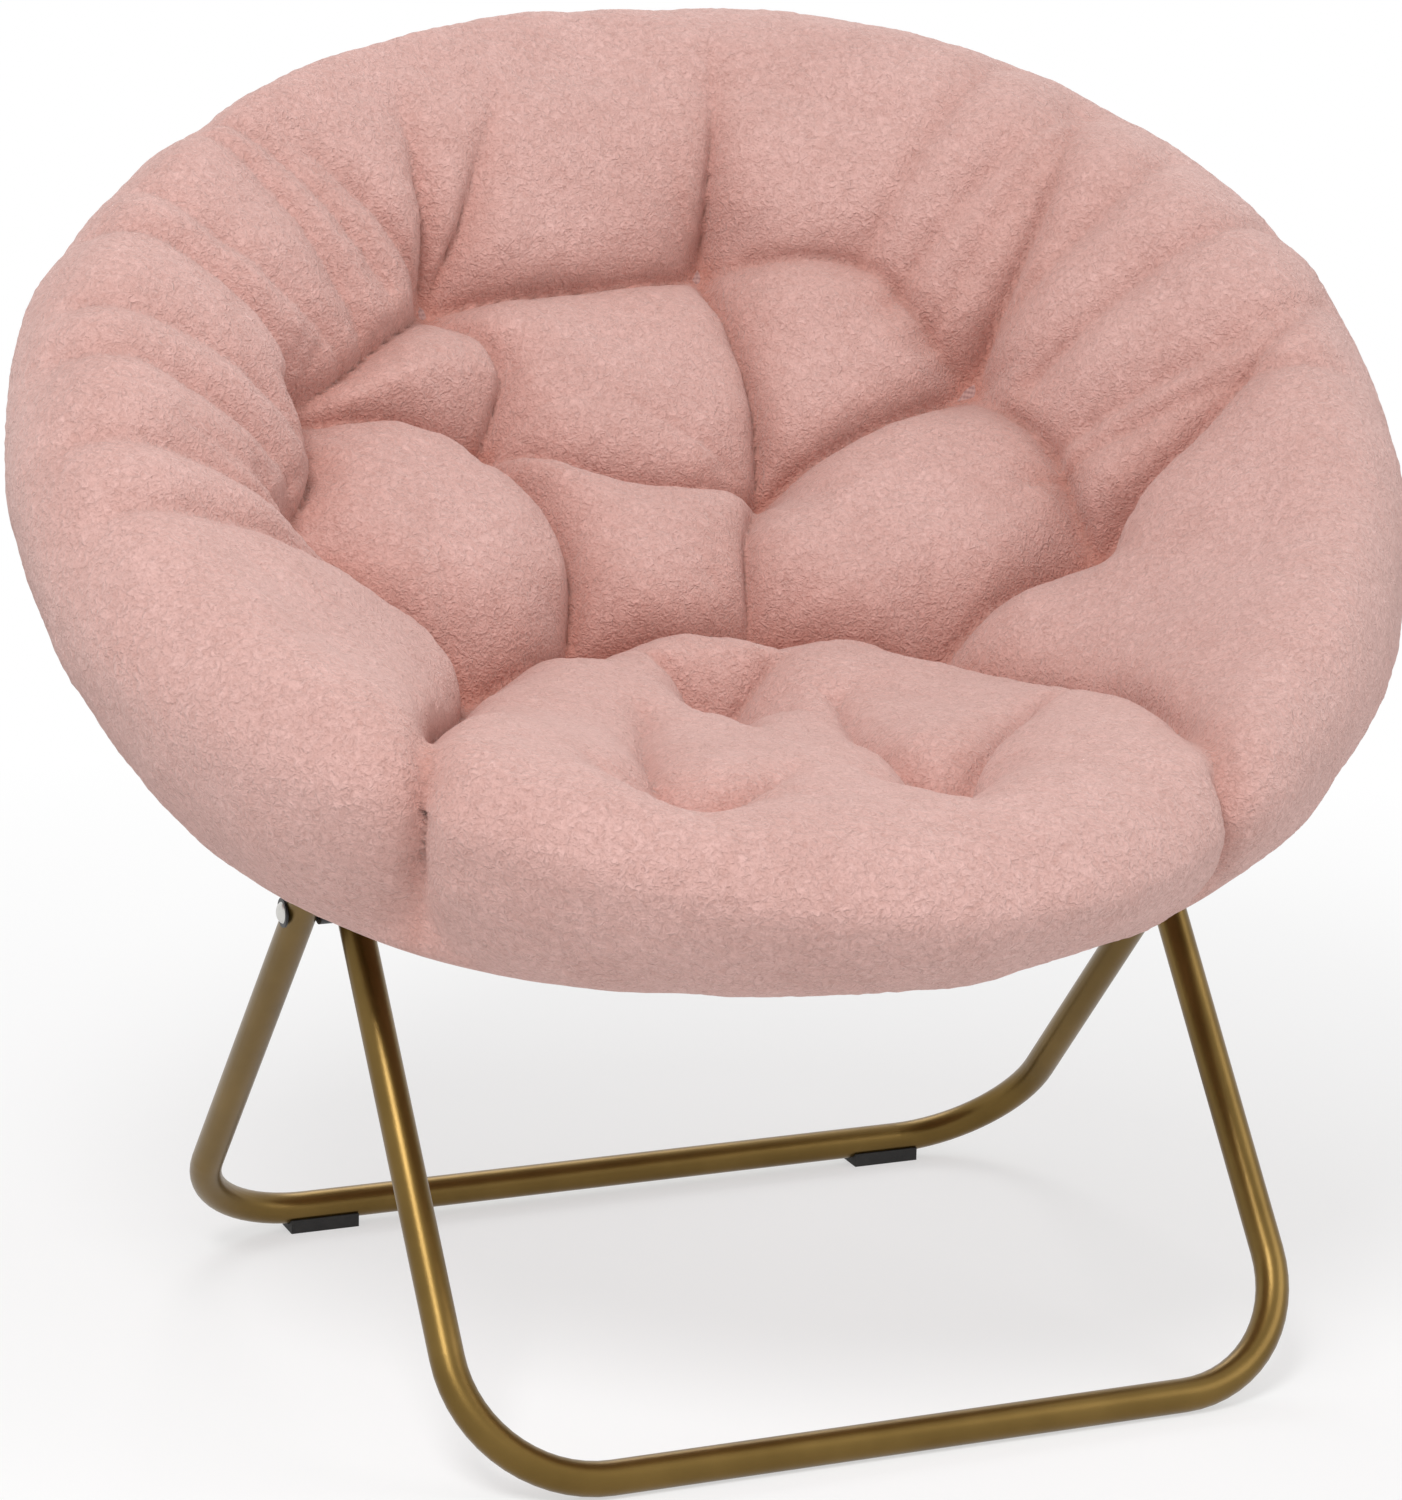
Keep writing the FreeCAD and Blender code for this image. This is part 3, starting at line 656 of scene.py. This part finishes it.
def plush_material():
    """Short pile: two sizes of clump, a slow nap and painted shade that darkens the colour down in
    the folds.
    """
    material, tree_nodes, links = new_material("pink_plush")
    shader = tree_nodes["Principled BSDF"]
    shader.inputs["Roughness"].default_value = 0.95
    shader.inputs["Specular IOR Level"].default_value = 0.15
    shader.inputs["Sheen Weight"].default_value = 0.45
    shader.inputs["Sheen Roughness"].default_value = 0.45
    shader.inputs["Sheen Tint"].default_value = (1.0, 0.86, 0.82, 1.0)
    where = tree_nodes.new("ShaderNodeTexCoord")
    clumps = add_node(tree_nodes, "ShaderNodeTexNoise", Scale=230.0, Detail=4.0, Distortion=1.4)
    fibre = add_node(tree_nodes, "ShaderNodeTexNoise", Scale=650.0, Detail=2.0)
    nap = add_node(tree_nodes, "ShaderNodeTexNoise", Scale=16.0, Detail=3.0, Distortion=0.8)
    for texture in (clumps, fibre, nap):
        links.new(where.outputs["Object"], texture.inputs["Vector"])
    pile_height = tree_nodes.new("ShaderNodeMath")
    pile_height.operation = "MULTIPLY_ADD"
    pile_height.inputs[1].default_value = 0.45
    links.new(fibre.outputs["Fac"], pile_height.inputs[0])
    links.new(clumps.outputs["Fac"], pile_height.inputs[2])
    bump = add_node(tree_nodes, "ShaderNodeBump", Strength=0.85, Distance=0.003)
    links.new(pile_height.outputs[0], bump.inputs["Height"])
    links.new(bump.outputs["Normal"], shader.inputs["Normal"])
    tone = tree_nodes.new("ShaderNodeValToRGB")
    tone.color_ramp.elements[0].position = 0.40
    tone.color_ramp.elements[1].position = 1.0
    tone.color_ramp.elements[0].color = (0.570, 0.330, 0.290, 1.0)
    tone.color_ramp.elements[1].color = (0.800, 0.512, 0.470, 1.0)
    links.new(pile_height.outputs[0], tone.inputs["Fac"])
    brushed = tree_nodes.new("ShaderNodeMix")
    brushed.data_type = "RGBA"
    brushed.blend_type = "MULTIPLY"
    brushed.inputs["Factor"].default_value = 1.0
    nap_tone = tree_nodes.new("ShaderNodeValToRGB")
    nap_tone.color_ramp.elements[0].position = 0.3
    nap_tone.color_ramp.elements[1].position = 0.7
    nap_tone.color_ramp.elements[0].color = (0.93, 0.90, 0.89, 1.0)
    nap_tone.color_ramp.elements[1].color = (1.0, 1.0, 1.0, 1.0)
    links.new(nap.outputs["Fac"], nap_tone.inputs["Fac"])
    links.new(tone.outputs["Color"], brushed.inputs["A"])
    links.new(nap_tone.outputs["Color"], brushed.inputs["B"])
    # Painted shade: the colour is multiplied darker where the fold attribute marks folds, wrinkles
    # and tufts
    fold = tree_nodes.new("ShaderNodeAttribute")
    fold.attribute_name = "fold"
    crease_painted_shade_mix = tree_nodes.new("ShaderNodeMix")
    crease_painted_shade_mix.data_type = "RGBA"
    crease_painted_shade_mix.blend_type = "MULTIPLY"
    crease_painted_shade_mix.inputs["B"].default_value = (0.84, 0.64, 0.57, 1.0)
    links.new(fold.outputs["Fac"], crease_painted_shade_mix.inputs["Factor"])
    links.new(brushed.outputs["Result"], crease_painted_shade_mix.inputs["A"])
    links.new(crease_painted_shade_mix.outputs["Result"], shader.inputs["Base Color"])
    return material


cushion_cover.materials.append(plush_material())
backing_cloth = woven_material(
    "backing_cloth",
    valley=(0.30, 0.16, 0.15),
    thread_colour=(0.52, 0.31, 0.28),
    thread_size=0.0016,
    depth=0.0004,
)
cushion_cover.materials.append(backing_cloth)
corners = np.zeros(len(cushion_cover.polygons) * 3, dtype=np.int32)
cushion_cover.polygons.foreach_get("vertices", corners)
face_share = share[corners.reshape(-1, 3)].mean(axis=1)
backed = (face_share > plush_share + 0.01).astype(np.int32)
cushion_cover.polygons.foreach_set("material_index", backed)

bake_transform(cushion)
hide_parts("seat_cushion", "back_cushion")

# Studio: a white floor that keeps the soft shadow, white all round. The lamps are
# large and soft: one high at the left, one low at the right and one behind
light_path_rays = ("Is Camera Ray", "Is Glossy Ray", "Is Transmission Ray")


def seen_directly(tree_nodes, links):
    """1 for rays that show the background: from the camera, in a reflection or through glass."""
    path = tree_nodes.new("ShaderNodeLightPath")
    total = path.outputs[light_path_rays[0]]
    for ray in light_path_rays[1:]:
        either = tree_nodes.new("ShaderNodeMath")
        either.operation = "MAXIMUM"
        links.new(total, either.inputs[0])
        links.new(path.outputs[ray], either.inputs[1])
        total = either.outputs[0]
    return total


world = bpy.data.worlds.new("studio")
bpy.context.scene.world = world
world.use_nodes = True
sky = world.node_tree.nodes["Background"]
sky.inputs["Color"].default_value = (1.0, 1.0, 1.0, 1.0)
sky_strength = add_node(world.node_tree.nodes, "ShaderNodeMapRange", To_Min=0.50, To_Max=1.0)
seen = seen_directly(world.node_tree.nodes, world.node_tree.links)
world.node_tree.links.new(seen, sky_strength.inputs["Value"])
world.node_tree.links.new(sky_strength.outputs["Result"], sky.inputs["Strength"])

floor_material, floor_nodes, floor_links = new_material("studio_floor")
floor_shader = floor_nodes["Principled BSDF"]
floor_shader.inputs["Base Color"].default_value = (0.86, 0.86, 0.86, 1.0)
floor_shader.inputs["Roughness"].default_value = 0.9
floor_glow = add_node(floor_nodes, "ShaderNodeEmission", Color=(1.0, 1.0, 1.0, 1.0), Strength=1.0)
floor_mix = floor_nodes.new("ShaderNodeMixShader")
floor_where = floor_nodes.new("ShaderNodeTexCoord")
floor_far = floor_nodes.new("ShaderNodeVectorMath")
floor_far.operation = "LENGTH"
floor_fade = add_node(
    floor_nodes, "ShaderNodeMapRange", From_Min=0.5, From_Max=1.6, To_Min=0.55, To_Max=1.0
)
floor_share = floor_nodes.new("ShaderNodeMath")
floor_share.operation = "MULTIPLY"
floor_links.new(floor_where.outputs["Object"], floor_far.inputs[0])
floor_links.new(floor_far.outputs["Value"], floor_fade.inputs["Value"])
floor_links.new(floor_fade.outputs["Result"], floor_share.inputs[0])
floor_links.new(seen_directly(floor_nodes, floor_links), floor_share.inputs[1])
floor_links.new(floor_share.outputs[0], floor_mix.inputs["Fac"])
floor_links.new(floor_shader.outputs["BSDF"], floor_mix.inputs[1])
floor_links.new(floor_glow.outputs["Emission"], floor_mix.inputs[2])
floor_links.new(floor_mix.outputs["Shader"], floor_nodes["Material Output"].inputs["Surface"])
floor_mesh = bpy.data.meshes.new("studio_floor")
floor_bm = bmesh.new()
bmesh.ops.create_circle(floor_bm, cap_ends=True, segments=96, radius=6.0)
floor_bm.to_mesh(floor_mesh)
floor_bm.free()
floor_mesh.materials.append(floor_material)
studio_floor = bpy.data.objects.new("studio_floor", floor_mesh)
bpy.context.scene.collection.objects.link(studio_floor)


def soft_lamp(name, place, size, power):
    lamp = bpy.data.lights.new(name, "AREA")
    lamp.shape = "DISK"
    lamp.size = size
    lamp.energy = power
    lamp_object = bpy.data.objects.new(name, lamp)
    lamp_object.location = place
    aim = Vector((0.0, 0.0, 0.5)) - Vector(place)
    lamp_object.rotation_euler = aim.to_track_quat("-Z", "Y").to_euler()
    bpy.context.scene.collection.objects.link(lamp_object)


soft_lamp("key_lamp", place=(-1.4, -1.6, 3.0), size=1.3, power=66.0)
soft_lamp("fill_lamp", place=(2.4, -1.8, 1.8), size=2.0, power=22.0)
soft_lamp("rear_lamp", place=(0.6, 2.4, 2.4), size=1.6, power=22.0)

# Camera: a little over a metre up, in front and to the left, with a long lens
camera_left = 1.131
camera_back = 2.604
camera_height = 1.093
camera_yaw = radians(-22.6)
camera_pitch = radians(13.8)
camera_roll = radians(1.11)
leg_pivot_y = sum(corner.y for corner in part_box("pivot_rivet_outer_left")) / 2
camera_data = bpy.data.cameras.new("camera")
camera_data.lens = 107.16
camera_data.sensor_width = 36.0
camera = bpy.data.objects.new("camera", camera_data)
bpy.context.scene.collection.objects.link(camera)
bpy.context.scene.camera = camera
forward = Vector((
    -sin(camera_yaw) * cos(camera_pitch), cos(camera_yaw) * cos(camera_pitch), -sin(camera_pitch)
))
level = Vector((cos(camera_yaw), sin(camera_yaw), 0.0))
upright = level.cross(forward)
right = cos(camera_roll) * level + sin(camera_roll) * upright
up = cos(camera_roll) * upright - sin(camera_roll) * level
turn = Matrix((right, up, -forward)).transposed()
camera_place = Matrix.Translation((-camera_left, leg_pivot_y - camera_back, camera_height))
camera.matrix_world = camera_place @ turn.to_4x4()
bpy.context.scene.view_settings.view_transform = "Standard"
